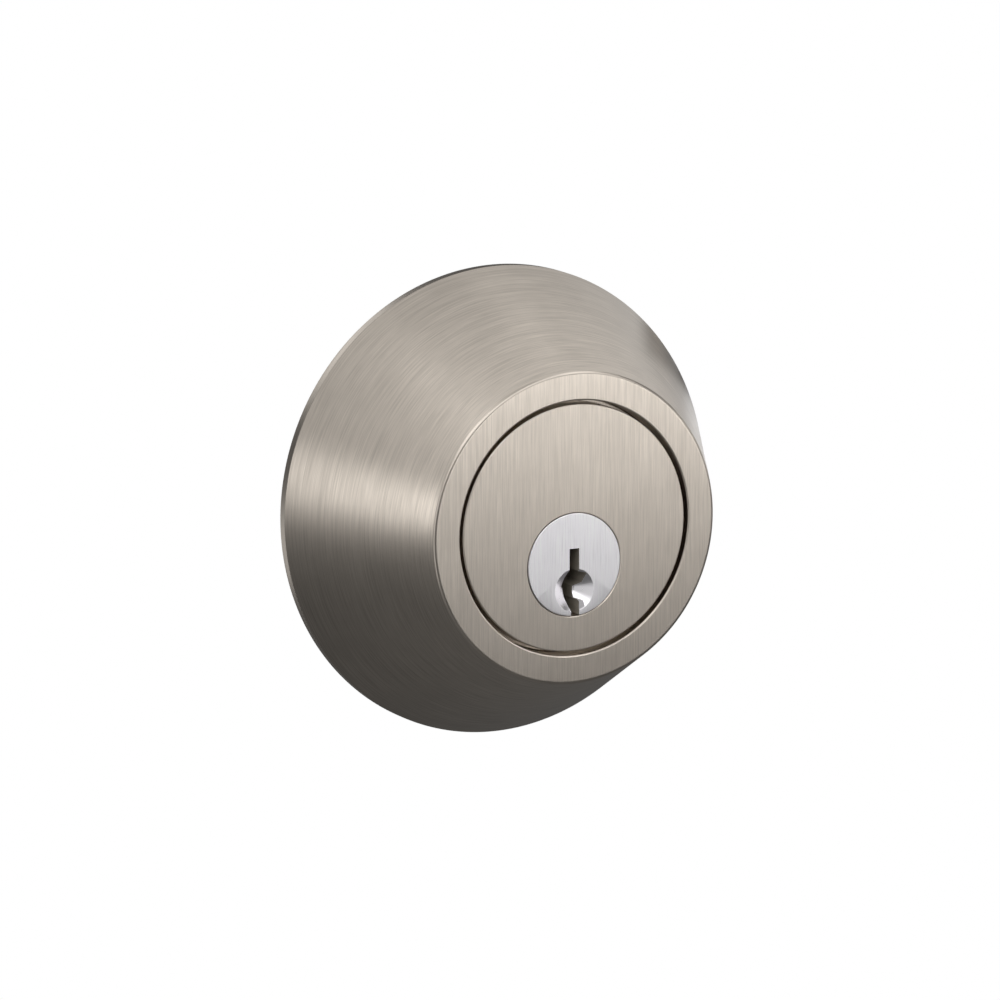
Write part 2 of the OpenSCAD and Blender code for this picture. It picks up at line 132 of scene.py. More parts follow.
NECK_END_Y = 3 * MM  # how far inside the wing the neck ends
PLUG_HOLE_R = PLUG_R + 0.07 * MM
PLUG_HOLE_EDGE = 0.12 * MM
PLUG_BACK_Y = 1.4 * MM
PLUG_TAIL_R = 6 * MM
PLUG_TAIL_Y = 4 * MM
KEYWAY_END_Y = 0.4 * MM
MERGE = 0.001 * MM  # corners of a CAD mesh nearer than this are one corner

# Shapes are cut a little past the faces that they open.
PAST = 1 * MM

SHARP_ANGLE = 30  # degrees between two faces from which their edge is shaded sharp
FLAT = 0.995  # how much of a face's direction is along Y when it faces along Y


# ---- Mesh helpers ----


def new_object(name, mesh):
    piece = bpy.data.objects.new(name, mesh)
    bpy.context.scene.collection.objects.link(piece)
    return piece


def solid_object(name, bm):
    """A new object with the mesh that bm holds."""
    mesh = bpy.data.meshes.new(name)
    bm.to_mesh(mesh)
    bm.free()
    return new_object(name, mesh)


def rounded(corners, steps=6):
    """A closed outline of (radius, y) points, with each (radius, y, rounding) corner made an arc."""
    outline = []
    for i, (r, y, rounding) in enumerate(corners):
        here = Vector((r, y))
        before = Vector(corners[i - 1][:2]) - here
        after = Vector(corners[(i + 1) % len(corners)][:2]) - here
        if rounding == 0:
            outline.append(here)
            continue
        half = before.angle(after) / 2
        back = rounding / math.tan(half)
        middle = here + (before.normalized() + after.normalized()).normalized() * (
            rounding / math.sin(half)
        )
        start = here + before.normalized() * back - middle
        turn = start.angle_signed(here + after.normalized() * back - middle)
        for k in range(steps + 1):
            spoke = start.copy()
            spoke.rotate(Matrix.Rotation(-turn * k / steps, 2))
            outline.append(middle + spoke)
    return outline


def lathe(name, corners, centre_z=0.0, steps=STEPS):
    """A closed solid turned about x = 0, z = centre_z, from (radius, y, rounding) corners."""
    outline = rounded(corners)
    bm = bmesh.new()
    rings = []
    for point in outline:
        if point.x < 1e-9:
            rings.append([bm.verts.new((0, point.y, centre_z))] * steps)
            continue
        rings.append([
            bm.verts.new((
                point.x * math.cos(math.tau * k / steps),
                point.y,
                centre_z + point.x * math.sin(math.tau * k / steps),
            ))
            for k in range(steps)
        ])
    for i, ring in enumerate(rings):
        other = rings[(i + 1) % len(rings)]
        for k in range(steps):
            n = (k + 1) % steps
            distinct = list(dict.fromkeys((ring[k], ring[n], other[n], other[k])))
            if len(distinct) > 2:
                bm.faces.new(distinct)
    bmesh.ops.recalc_face_normals(bm, faces=bm.faces)
    return solid_object(name, bm)


def prism(name, outline, start, end, along="Y"):
    """A flat outline pushed from start to end: (x, z) points along Y, or (y, z) points along X."""
    bm = bmesh.new()
    near, far = (
        [bm.verts.new((a, depth, b) if along == "Y" else (depth, a, b)) for a, b in outline]
        for depth in (start, end)
    )
    bm.faces.new(near)
    bm.faces.new(far)
    for i in range(len(outline)):
        n = (i + 1) % len(outline)
        bm.faces.new((near[i], near[n], far[n], far[i]))
    bmesh.ops.recalc_face_normals(bm, faces=bm.faces)
    return solid_object(name, bm)


def block(name, low, high):
    """A box between two corners."""
    outline = [(low[0], low[2]), (high[0], low[2]), (high[0], high[2]), (low[0], high[2])]
    return prism(name, outline, low[1], high[1])


def rod(name, start, end, radius, end_radius=None, steps=ROD_STEPS):
    """A round bar, or a cone, between two points."""
    start, end = Vector(start), Vector(end)
    bm = bmesh.new()
    bmesh.ops.create_cone(
        bm, cap_ends=True, segments=steps, radius1=radius,
        radius2=radius if end_radius is None else end_radius, depth=(end - start).length,
    )
    turn = (end - start).to_track_quat("Z", "Y").to_matrix().to_4x4()
    turn.translation = (start + end) / 2
    bm.transform(turn)
    return solid_object(name, bm)


def apply_modifiers(piece):
    """Makes what the modifiers of a piece have done its own mesh."""
    bpy.context.view_layer.update()
    graph = bpy.context.evaluated_depsgraph_get()
    mesh = bpy.data.meshes.new_from_object(piece.evaluated_get(graph))
    piece.modifiers.clear()
    piece.data = mesh


def combine(piece, others, operation):
    """Cuts other solids out of a piece, or joins them to it, and removes them."""
    for other in others:
        modifier = piece.modifiers.new("combine", "BOOLEAN")
        modifier.operation = operation
        modifier.solver = "EXACT"
        modifier.object = other
    apply_modifiers(piece)
    for other in others:
        bpy.data.objects.remove(other)


def soften(piece, width, angle=35, segments=3):
    """Rounds the edges of a piece that are sharper than the angle."""
    bevel = piece.modifiers.new("bevel", "BEVEL")
    bevel.width = width
    bevel.segments = segments
    bevel.limit_method = "ANGLE"
    bevel.angle_limit = math.radians(angle)
    bevel.use_clamp_overlap = True
    bevel.miter_outer = "MITER_ARC"
    apply_modifiers(piece)


def shade(piece):
    """Shades a piece smooth, with its sharp edges kept and its flat faces kept flat."""
    piece.data.polygons.foreach_set("use_smooth", [True] * len(piece.data.polygons))
    piece.data.set_sharp_from_angle(angle=math.radians(SHARP_ANGLE))
    weighted = piece.modifiers.new("weighted_normals", "WEIGHTED_NORMAL")
    weighted.keep_sharp = True
    weighted.weight = 100
    apply_modifiers(piece)


def map_brush(piece):
    """UV map whose first direction runs up, along the straight brushing."""
    mesh = piece.data
    layer = mesh.uv_layers.get("brush") or mesh.uv_layers.new(name="brush")
    for face in mesh.polygons:
        for loop in face.loop_indices:
            co = mesh.vertices[mesh.loops[loop].vertex_index].co
            layer.data[loop].uv = (co.z / MM, (co.x + co.y) / MM)


def dress(piece, materials, chooser):
    """Gives a piece its materials; chooser(face) is the number of a face's material."""
    piece.data.materials.clear()
    for material in materials:
        piece.data.materials.append(material)
    for face in piece.data.polygons:
        face.material_index = chooser(face)


def facing_y(face):
    """Whether a face lies flat across the Y axis."""
    return abs(face.normal.y) > FLAT


def turned_or_flat(face):
    """0 for a turned face and 1 for one that lies flat across the Y axis."""
    return int(facing_y(face))


# ---- Materials ----

BUMP_DISTANCE = 0.02 * MM
NOISE_LOW, NOISE_HIGH = 0.3, 0.7  # noise stays mostly between these


class Nodes:
    """A material's node tree, with short calls to add and join nodes."""

    def __init__(self, name):
        self.material = bpy.data.materials.new(name)
        self.material.use_nodes = True
        self.tree = self.material.node_tree
        self.shader = self.tree.nodes["Principled BSDF"]

    def add(self, kind, **values):
        node = self.tree.nodes.new(kind)
        for key, value in values.items():
            if key in node.inputs:
                node.inputs[key].default_value = value
            else:
                setattr(node, key, value)
        return node

    def join(self, source, target):
        self.tree.links.new(source, target)

    def place(self):
        """Coordinates in metres that are fixed to the piece."""
        return self.add("ShaderNodeTexCoord").outputs["Object"]

    def relief(self, height, strength):
        """Gives the surface a fine relief."""
        bump = self.add("ShaderNodeBump", Strength=strength, Distance=BUMP_DISTANCE)
        self.join(height, bump.inputs["Height"])
        self.join(bump.outputs["Normal"], self.shader.inputs["Normal"])

    def math(self, operation, a, b):
        node = self.add("ShaderNodeMath", operation=operation)
        for socket, value in zip(node.inputs, (a, b)):
            if isinstance(value, (int, float)):
                socket.default_value = value
            else:
                self.join(value, socket)
        return node.outputs[0]


def straight_streaks(nodes, along, across, axis="Z"):
    """Coordinates that draw noise out along one axis, to that many mm along and across it."""
    scale = nodes.add("ShaderNodeMapping")
    lengths = {a: (along if a == axis else across) for a in "XYZ"}
    scale.inputs["Scale"].default_value = [1 / (lengths[a] * MM) for a in "XYZ"]
    nodes.join(nodes.place(), scale.inputs["Vector"])
    return scale.outputs["Vector"]


def turned_streaks(nodes, along, across):
    """Coordinates that draw noise out round the Y axis: along is in radians, across in mm."""
    place = nodes.place()
    flat = nodes.add("ShaderNodeVectorMath", operation="MULTIPLY")
    flat.inputs[1].default_value = (1, 0, 1)
    unit = nodes.add("ShaderNodeVectorMath", operation="NORMALIZE")
    spread = nodes.add("ShaderNodeVectorMath", operation="SCALE")
    spread.inputs["Scale"].default_value = 1 / along
    depth = nodes.add("ShaderNodeVectorMath", operation="MULTIPLY")
    depth.inputs[1].default_value = (0, 1 / (across * MM), 0)
    both = nodes.add("ShaderNodeVectorMath", operation="ADD")
    nodes.join(place, flat.inputs[0])
    nodes.join(flat.outputs[0], unit.inputs[0])
    nodes.join(unit.outputs[0], spread.inputs[0])
    nodes.join(place, depth.inputs[0])
    nodes.join(spread.outputs[0], both.inputs[0])
    nodes.join(depth.outputs[0], both.inputs[1])
    return both.outputs[0]


def noise(nodes, vector, scale=1.0, detail=3.0, roughness=0.6):
    node = nodes.add("ShaderNodeTexNoise", Scale=scale, Detail=detail, Roughness=roughness)
    nodes.join(vector, node.inputs["Vector"])
    return node.outputs["Fac"]


def spread_of(nodes, value, low, high):
    """Maps noise to low...high."""
    node = nodes.add("ShaderNodeMapRange")
    node.inputs["From Min"].default_value = NOISE_LOW
    node.inputs["From Max"].default_value = NOISE_HIGH
    node.inputs["To Min"].default_value = low
    node.inputs["To Max"].default_value = high
    nodes.join(value, node.inputs["Value"])
    return node.outputs["Result"]


def tinted(nodes, value, colour, low, high):
    """A colour made darker and lighter by noise."""
    shade_of = spread_of(nodes, value, low, high)
    node = nodes.add("ShaderNodeVectorMath", operation="SCALE")
    node.inputs[0].default_value = colour
    nodes.join(shade_of, node.inputs["Scale"])
    return node.outputs[0]


def shaded_to_foot(nodes, colour, foot_shade):
    """A colour with painted shade: it gets darker from the collar's front face to its foot on the
    door.
    """
    parts = nodes.add("ShaderNodeSeparateXYZ")
    nodes.join(nodes.place(), parts.inputs[0])
    tone = nodes.add("ShaderNodeMapRange")
    tone.inputs["From Min"].default_value = COLLAR_FACE_Y
    tone.inputs["From Max"].default_value = -COLLAR_EDGE
    tone.inputs["To Min"].default_value = 1.0
    tone.inputs["To Max"].default_value = foot_shade
    nodes.join(parts.outputs["Y"], tone.inputs["Value"])
    node = nodes.add("ShaderNodeVectorMath", operation="SCALE")
    nodes.join(colour, node.inputs[0])
    nodes.join(tone.outputs["Result"], node.inputs["Scale"])
    return node.outputs[0]


def brushed(name, colour, roughness, anisotropy, streaks, tangent=None, contrast=0.05,
            foot_shade=None):
    """Brushed metal. streaks is a function that gives the drawn-out coordinates of the brushing.

    The brushing runs round the Y axis or up where tangent is "round" or "up".
    """
    nodes = Nodes(name)
    shader = nodes.shader
    shader.inputs["Metallic"].default_value = 1.0
    shader.inputs["Anisotropic"].default_value = anisotropy
    fine = noise(nodes, streaks(nodes), detail=4.0, roughness=0.65)
    cloud = noise(nodes, nodes.place(), scale=160.0, detail=2.0)
    grain = nodes.math("ADD", nodes.math("MULTIPLY", fine, 0.8), nodes.math("MULTIPLY", cloud, 0.2))
    tint = tinted(nodes, grain, colour, 1 - contrast, 1 + contrast)
    # Painted shade: the colour gets darker towards the collar's foot on the door.
    if foot_shade is not None:
        tint = shaded_to_foot(nodes, tint, foot_shade)
    nodes.join(tint, shader.inputs["Base Color"])
    rough = spread_of(nodes, fine, roughness * 1.08, roughness * 0.92)
    nodes.join(rough, shader.inputs["Roughness"])
    nodes.relief(fine, 0.04)
    if tangent == "round":
        direction = nodes.add("ShaderNodeTangent", direction_type="RADIAL", axis="Y")
        nodes.join(direction.outputs["Tangent"], shader.inputs["Tangent"])
    elif tangent == "up":
        direction = nodes.add("ShaderNodeTangent", direction_type="UV_MAP", uv_map="brush")
        nodes.join(direction.outputs["Tangent"], shader.inputs["Tangent"])
    return nodes.material


def plain_metal(name, colour, roughness, contrast=0.05):
    """Machined, cast or plated metal with a fine even grain."""
    nodes = Nodes(name)
    shader = nodes.shader
    shader.inputs["Metallic"].default_value = 1.0
    place = nodes.place()
    grain = noise(nodes, place, scale=600.0, detail=5.0)
    cloud = noise(nodes, place, scale=75.0, detail=2.0)
    mixed = nodes.math("ADD", nodes.math("MULTIPLY", grain, 0.5), nodes.math("MULTIPLY", cloud, 0.5))
    nodes.join(tinted(nodes, mixed, colour, 1 - contrast, 1 + contrast), shader.inputs["Base Color"])
    rough = spread_of(nodes, mixed, roughness * 0.87, roughness * 1.13)
    nodes.join(rough, shader.inputs["Roughness"])
    nodes.relief(grain, 0.15)
    return nodes.material


def moulded(name, colour, roughness):
    """Moulded plastic with a fine surface grain."""
    nodes = Nodes(name)
    shader = nodes.shader
    grain = noise(nodes, nodes.place(), scale=900.0, detail=3.0)
    nodes.join(tinted(nodes, grain, colour, 0.94, 1.04), shader.inputs["Base Color"])
    nodes.join(spread_of(nodes, grain, roughness, roughness * 1.2), shader.inputs["Roughness"])
    nodes.relief(grain, 0.1)
    return nodes.material


def glowing(name, strength, one_sided=False):
    """A surface of the stage: even white in any light. A one-sided one is clear from behind."""
    nodes = Nodes(name)
    shader = nodes.shader
    shader.inputs["Base Color"].default_value = (0, 0, 0, 1)
    shader.inputs["Roughness"].default_value = 1.0
    shader.inputs["Specular IOR Level"].default_value = 0.0
    shader.inputs["Emission Color"].default_value = (1, 1, 1, 1)
    shader.inputs["Emission Strength"].default_value = strength
    if one_sided:
        geometry = nodes.add("ShaderNodeNewGeometry")
        front = nodes.math("LESS_THAN", geometry.outputs["Backfacing"], 0.5)
        nodes.join(front, shader.inputs["Alpha"])
    return nodes.material


NICKEL = (0.665, 0.60, 0.527)
PLUG_METAL = (0.97, 0.95, 0.975)

# The turned nickel's colour holds painted shade, darker towards the collar's foot on the door.
turned_nickel = brushed(
    "turned_nickel", NICKEL, 0.30, 0.6, lambda n: turned_streaks(n, 0.28, 0.16), "round", 0.2,
    foot_shade=0.78,
)
face_nickel = brushed(
    "face_nickel", NICKEL, 0.30, 0.5, lambda n: straight_streaks(n, 7, 0.17), "up", 0.17,
)
plug_face = brushed(
    "plug_face", PLUG_METAL, 0.36, 0.5, lambda n: straight_streaks(n, 6, 0.16), "up", 0.14,
)
plug_side = plain_metal("plug_side", PLUG_METAL, 0.30, 0.06)
# Painted shade: the walls of the keyway and of the plug's pin holes are metal, but get this dark,
# non-metal colour for the shade deep inside them.
keyway_shade = moulded("keyway_shade", (0.30, 0.27, 0.225), 0.6)
brass = plain_metal("brass", (0.78, 0.57, 0.25), 0.28)
zinc = plain_metal("zinc", (0.52, 0.53, 0.56), 0.45)
bolt_steel = brushed(
    "bolt_steel", (0.62, 0.60, 0.57), 0.26, 0.4, lambda n: straight_streaks(n, 12, 0.2, "X"),
)
plated_steel = plain_metal("plated_steel", (0.60, 0.61, 0.63), 0.30)
spring_steel = plain_metal("spring_steel", (0.42, 0.43, 0.46), 0.25)
hardened_steel = plain_metal("hardened_steel", (0.10, 0.10, 0.11), 0.42)
nylon = moulded("nylon", (0.80, 0.79, 0.74), 0.45)


# ---- Pieces ----


def finish_piece(piece, body, slot, *nodes_replaced):
    """Puts a piece on its body and hides the CAD nodes it stands for. slot is not used."""
    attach(piece, body)
    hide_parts(*nodes_replaced)


def make_collar():
    """Cone with a flat front, open behind, with the land that runs on the cylinder inside it."""
    slope = (COLLAR_R - COLLAR_FACE_R) / (-COLLAR_EDGE - COLLAR_FACE_Y)
    recess_y = COLLAR_FACE_Y + COLLAR_RECESS_H
    land_y = recess_y + COLLAR_LAND_H
    web_r = COLLAR_FACE_R + (land_y - COLLAR_FACE_Y) * slope - COLLAR_WALL
    piece = lathe("collar", [
        (COLLAR_RECESS_R, COLLAR_FACE_Y, 0.25 * MM),
        (COLLAR_FACE_R, COLLAR_FACE_Y, 0.6 * MM),
        (COLLAR_R, -COLLAR_EDGE, 0.12 * MM),
        (COLLAR_R, 0, 0.1 * MM),
        (COLLAR_R - COLLAR_WALL, 0, 0.2 * MM),
        (COLLAR_R - COLLAR_WALL, -COLLAR_EDGE, 0.5 * MM),
        (web_r, land_y, 0.8 * MM),
        (COLLAR_LAND_R, land_y, 0.2 * MM),
        (COLLAR_LAND_R, recess_y, 0.1 * MM),
        (COLLAR_RECESS_R, recess_y, 0.2 * MM),
    ])
    shade(piece)
    map_brush(piece)
    dress(
        piece, [turned_nickel, face_nickel],
        lambda face: int(facing_y(face) and face.center.y < COLLAR_FRONT_Y),
    )
    finish_piece(piece, "collar", "satin_nickel", "trim_ring")


def pin_y(i):
    """How far back pin i + 1 stands."""
    return sum(corner.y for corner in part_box(f"key_pin_{i + 1}")) / 2


def make_cylinder_body():
    """Cylinder with its head, its two threaded posts and the plug's hole."""
    back_y = head_high.y
    piece = lathe("lock_cylinder", [
        (0, HEAD_Y, 0),
        (HEAD_R, HEAD_Y, 0.22 * MM),
        (HEAD_R, HEAD_Y + HEAD_T, 0.1 * MM),
        (SHELL_R, HEAD_Y + HEAD_T, 0.1 * MM),
        (SHELL_R, back_y, 0.3 * MM),
        (0, back_y, 0),
    ])
    hole = lathe("hole", [
        (0, HEAD_Y - PAST, 0),
        (PLUG_HOLE_R + PLUG_HOLE_EDGE + PAST, HEAD_Y - PAST, 0),
        (PLUG_HOLE_R, HEAD_Y + PLUG_HOLE_EDGE, 0),
        (PLUG_HOLE_R, back_y + PAST, 0),
        (0, back_y + PAST, 0),
    ], PLUG_Z)
    slot_low = (-COVER_W / 2, HEAD_Y + HEAD_T, PIN_TOP_Z)
    pocket = block("pocket", slot_low, (COVER_W / 2, back_y + PAST, SHELL_R + PAST))
    combine(piece, [pocket], "DIFFERENCE")
    posts = []
    for side in (-1, 1):
        post_z = side * POST_Z
        foot_z = side * WEB_FOOT_Z
        posts.append(rod("post", (0, -POST_L, post_z), (0, 0, post_z), POST_R))
        posts.append(block(
            "web", (-WEB_W / 2, -POST_L, min(foot_z, post_z)), (WEB_W / 2, 0, max(foot_z, post_z))
        ))
    combine(piece, posts, "UNION")
    holes = [hole, block("slot", slot_low, (COVER_W / 2, back_y + PAST, PIN_TOP_Z + COVER_T))]
    for i in range(PIN_COUNT):
        holes.append(rod("chamber", (0, pin_y(i), PLUG_Z), (0, pin_y(i), PIN_TOP_Z), PIN_BORE_R))
    for side in (-1, 1):
        z = side * POST_Z
        holes.append(rod("screw_hole", (0, -POST_L - PAST, z), (0, PAST, z), SCREW_BORE_R))
        x = side * DRILL_X
        holes.append(rod(
            "drill_hole", (x, DRILL_Y, -SHELL_R - PAST), (x, DRILL_Y, DRILL_TOP_Z), DRILL_BORE_R
        ))
    combine(piece, holes, "DIFFERENCE")
    shade(piece)
    map_brush(piece)
    dress(piece, [turned_nickel, face_nickel], turned_or_flat)
    finish_piece(piece, "lock_body", "satin_nickel", "cylinder_body")


# ---- The round recess in the plug's face that guides the key's tip ----

GUIDE_R = 2.95 * MM
GUIDE_FOOT_R = 0.8 * MM
GUIDE_H = 1.7 * MM
GUIDE_DROP = 3.5 * MM
LEDGE_DEPTH = 0.05 * MM

# Outline of the part of the plug's face that stands in the recess, in mm from the plug's centre.
LEDGE = [(-0.2, -4.55), (1.35, -5.05), (1.6, -5.8), (1.9, -7.5), (-0.2, -7.5)]


def from_plug_centre(points):
    """Points in mm from the plug's centre as (x, z) in metres in the frame."""
    return [(x * MM, PLUG_Z + z * MM) for x, z in points]


def keyway_outline():
    """The keyway's (x, z) outline: a straight slot, a ward on the right and a foot on the left."""
    in_mm = [
        (-0.74, 2.2), (0.74, 2.2), (0.74, -1.0), (1.9, -1.3), (1.6, -2.7), (0.6, -3.3),
        (0.5, -4.9), (0.75, -5.1), (0.75, -8), (-0.5, -8), (-0.5, -6.4), (-1.0, -4.6),
        (-1.0, -3.4), (-1.35, -3.3), (-1.1, -1.8), (-0.74, -0.9),
    ]
    return from_plug_centre(in_mm)


def make_plug():
    """Key plug: a round nose with its keyway and the round recess that guides the key's tip."""
    piece = lathe("key_plug", [
        (0, HEAD_Y, 0),
        (PLUG_R, HEAD_Y, 0.1 * MM),
        (PLUG_R, PLUG_BACK_Y, 0),
        (PLUG_TAIL_R, PLUG_BACK_Y, 0),
        (PLUG_TAIL_R, PLUG_TAIL_Y, 0.2 * MM),
        (0, PLUG_TAIL_Y, 0),
    ], PLUG_Z)
    slot = prism("slot", keyway_outline(), HEAD_Y - PAST, KEYWAY_END_Y)
    guide = lathe("guide", [
        (0, HEAD_Y - PAST, 0),
        (GUIDE_R, HEAD_Y - PAST, 0),
        (GUIDE_R, HEAD_Y, 0),
        (GUIDE_FOOT_R, HEAD_Y + GUIDE_H, 0.3 * MM),
        (0, HEAD_Y + GUIDE_H, 0),
    ], PLUG_Z - GUIDE_DROP, SMALL_STEPS)
    ledge = prism("ledge", from_plug_centre(LEDGE), HEAD_Y + LEDGE_DEPTH, 0)
    combine(guide, [ledge], "DIFFERENCE")
    top_z = PLUG_Z + PLUG_R + PAST
    chambers = [
        rod("chamber", (0, pin_y(i), KEY_PIN_FLOOR_Z), (0, pin_y(i), top_z), PIN_BORE_R)
        for i in range(PIN_COUNT)
    ]
    combine(piece, [slot, guide] + chambers, "DIFFERENCE")
    shade(piece)
    map_brush(piece)

    def surface(face):
        """The face, then the plug's sides and the recess, then the walls of the holes, which carry a
        dark colour of painted shade.
        """
        if facing_y(face) and face.center.y < HEAD_Y + LEDGE_DEPTH:
            return 0
        sideways = abs(face.normal.y) < 0.1
        outside = math.hypot(face.center.x, face.center.z - PLUG_Z) > PLUG_R * 0.95
        return 2 if sideways and not outside else 1

    dress(piece, [plug_face, plug_side, keyway_shade], surface)
    finish_piece(piece, "key_plug", "plug_nickel", "plug")


def make_rose():
    """Inside rose: a dished plate with the turn's boss and two screw posts behind it."""
    face_y = rose_high.y
    piece = lathe("rose", [
        (0, face_y, 0),
        (ROSE_FACE_R, face_y, 0.9 * MM),
        (rose_high.x, DOOR_T + ROSE_EDGE, 0.4 * MM),
        (rose_high.x, DOOR_T, 0.1 * MM),
        (rose_high.x - ROSE_WALL, DOOR_T, 0.1 * MM),
        (rose_high.x - ROSE_WALL, DOOR_T + ROSE_EDGE, 0.3 * MM),
        (ROSE_FACE_R - ROSE_WALL, face_y - ROSE_WALL, 0.5 * MM),
        (0, face_y - ROSE_WALL, 0),
    ])
    inside_y = face_y - ROSE_WALL / 2
    added = [rod("boss", (0, BOSS_Y, PLUG_Z), (0, inside_y, PLUG_Z), BOSS_R, steps=SMALL_STEPS)]
    cuts = [rod(
        "bore", (0, DOOR_T, PLUG_Z), (0, face_y + PAST, PLUG_Z), SPINDLE_BORE_R, steps=SMALL_STEPS
    )]
    for side in (-1, 1):
        x = side * ROSE_SCREW_X
        added.append(rod("screw_post", (x, DOOR_T + MOUNT_T, 0), (x, inside_y, 0), ROSE_POST_R))
        cuts.append(rod("hole", (x, DOOR_T, 0), (x, face_y + PAST, 0), ROSE_HOLE_R))
        sink = (x, face_y - ROSE_SINK_H, 0), (x, face_y + SINK_PAST, 0)
        cuts.append(rod("sink", *sink, ROSE_HOLE_R, ROSE_SINK_R))
    combine(piece, added, "UNION")
    combine(piece, cuts, "DIFFERENCE")
    shade(piece)
    map_brush(piece)
    dress(piece, [turned_nickel, face_nickel], turned_or_flat)
    finish_piece(piece, "lock_body", "satin_nickel", "interior_rose")


def arc_corners(width, height, radius, steps=8):
    """Outline of a rectangle with round corners, centred on the origin."""
    outline = []
    for quarter, (sx, sz) in enumerate(((1, 1), (-1, 1), (-1, -1), (1, -1))):
        for k in range(steps + 1):
            a = math.radians(90 * (quarter + k / steps))
            outline.append((
                sx * (width / 2 - radius) + radius * math.cos(a),
                sz * (height / 2 - radius) + radius * math.sin(a),
            ))
    return outline


def make_thumbturn():
    """Inside turn: a round foot with a neck and a flat upright wing."""
    low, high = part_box("thumbturn")
    foot_r = high.x
    foot_top_y = low.y + TURN_FOOT_H
    wing_y = high.y - WING_DEPTH
    wing_x = WING_T / 2
    neck_tip_r = wing_x * NECK_TIP
    piece = lathe("turn", [
        (0, low.y, 0),
        (foot_r, low.y, 0.2 * MM),
        (foot_r, foot_top_y, 0.9 * MM),
        (TURN_NECK_R, foot_top_y, 0.5 * MM),
        (neck_tip_r, wing_y + NECK_TAPER_Y, 0.2 * MM),
        (neck_tip_r, wing_y + NECK_END_Y, 0),
        (0, wing_y + NECK_END_Y, 0),
    ], PLUG_Z, SMALL_STEPS)
    outline = [
        (high.y - WING_DEPTH / 2 + y, PLUG_Z + z)
        for y, z in arc_corners(WING_DEPTH, high.z - low.z, TURN_CORNER_R)
    ]
    wing = prism("wing", outline, -wing_x, wing_x, "X")
    soften(wing, WING_ROUNDING, 60, 5)
    combine(piece, [wing], "UNION")
    shade(piece)
    map_brush(piece)
    dress(piece, [face_nickel, turned_nickel], lambda face: int(face.center.y < wing_y))
    finish_piece(piece, "turn", "satin_nickel", "thumbturn")


SLOT_MATERIALS = {
    "satin_nickel": (face_nickel,),
    "plug_nickel": (plug_side,),
    "brass": (brass,),
    "zinc": (zinc,),
    "bolt_steel": (bolt_steel,),
    "plated_steel": (plated_steel,),
    "spring_steel": (spring_steel,),
    "hardened_steel": (hardened_steel,),
    "nylon": (nylon,),
}

# How much the edges of a CAD piece are rounded: the usual amount, and the pieces that differ.
EDGE = 0.15 * MM
EDGES = {
    "faceplate": 0.25 * MM,
    "bolt": 0.8 * MM,
    "barrel": 0.1 * MM,
}


def refine(node, body, slot):
    """A copy of a CAD piece with joined faces and rounded edges stands for it."""
    piece = new_object(node + "_piece", frame["nodes"][node].data.copy())
    bm = bmesh.new()
    bm.from_mesh(piece.data)
    bmesh.ops.remove_doubles(bm, verts=bm.verts, dist=MERGE)
    bmesh.ops.dissolve_limit(
        bm, angle_limit=math.radians(1), verts=bm.verts, edges=bm.edges, delimit={"NORMAL"}
    )
    bm.to_mesh(piece.data)
    bm.free()
    soften(piece, EDGES.get(node, EDGE))
    shade(piece)
    map_brush(piece)
    dress(piece, SLOT_MATERIALS[slot], lambda f: 0)
    finish_piece(piece, body, slot, node)


def make_pin_spring(node, body):
    """A pin spring's own copy of its CAD mesh, in spring steel."""
    piece = new_object(node + "_piece", frame["nodes"][node].data.copy())
    piece.data.materials.clear()
    piece.data.materials.append(spring_steel)
    finish_piece(piece, body, "spring_steel", node)
    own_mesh(piece)


def make_pieces():
    """Every CAD node but cap_pin_spring gets a visual piece in its place."""
    made = {
        "trim_ring": make_collar,
        "cylinder_body": make_cylinder_body,
        "plug": make_plug,
        "interior_rose": make_rose,
        "thumbturn": make_thumbturn,
    }
    slots = {s["node"]: s["material_slot"] for s in frame["record"]["subparts"]}
    for body, nodes in frame["record"]["behaviour"]["bodies"].items():
        for node in nodes:
            if node in made:
                made[node]()
            elif node.startswith("pin_spring"):
                make_pin_spring(node, body)
            elif "spring" in node:
                cad_piece = frame["nodes"][node]
                cad_piece.data.materials.clear()
                cad_piece.data.materials.append(spring_steel)
            else:
                refine(node, body, slots[node])


# ---- Stage, light and camera ----

FLOOR_Z = -0.2
STAGE_R = 3.0
WHITE = 1.0
DOOR_BORE_R = 27 * MM
SKIN_Y = 0.2 * MM  # the skin of the door's face stands this far behind the face
SKIN_REACH = 0.25  # how far the skins go up, down and away from the edge
SKIN_STEPS = 96
EDGE_SKIN_BACK = 1.2 * MM  # the skin of the door's edge stands this far behind the faceplate's front
EDGE_OPENING = (10.5 * MM, 24 * MM)  # half the edge skin's opening, in y and z


def only_for_camera(piece):
    """Keeps a stage surface out of the metal's reflections and stops it from casting a shadow."""
    piece.visible_glossy = False
    piece.visible_diffuse = False
    piece.visible_shadow = False
    piece.visible_transmission = False
    piece.visible_volume_scatter = False


def stage_mesh(name, points, faces, material):
    """A stage surface from its points and faces."""
    mesh = bpy.data.meshes.new(name)
    mesh.from_pydata(points, [], faces)
    mesh.materials.append(material)
    piece = new_object(name, mesh)
    only_for_camera(piece)


def make_stage():
    """White floor and backdrop, and the white skins of the door."""
    white = glowing("stage_white", WHITE)
    r = STAGE_R
    corners = [(-r, -r, FLOOR_Z), (r, -r, FLOOR_Z), (r, r, FLOOR_Z), (-r, r, FLOOR_Z)]
    stage_mesh("floor", corners, [(0, 1, 2, 3)], white)
    bm = bmesh.new()
    bmesh.ops.create_icosphere(bm, subdivisions=4, radius=r)
    backdrop = solid_object("backdrop", bm)
    backdrop.data.materials.append(white)
    only_for_camera(backdrop)
    door_white = glowing("door_white", WHITE, one_sided=True)
    make_door_skin(door_white)
    make_edge_skin(door_white)


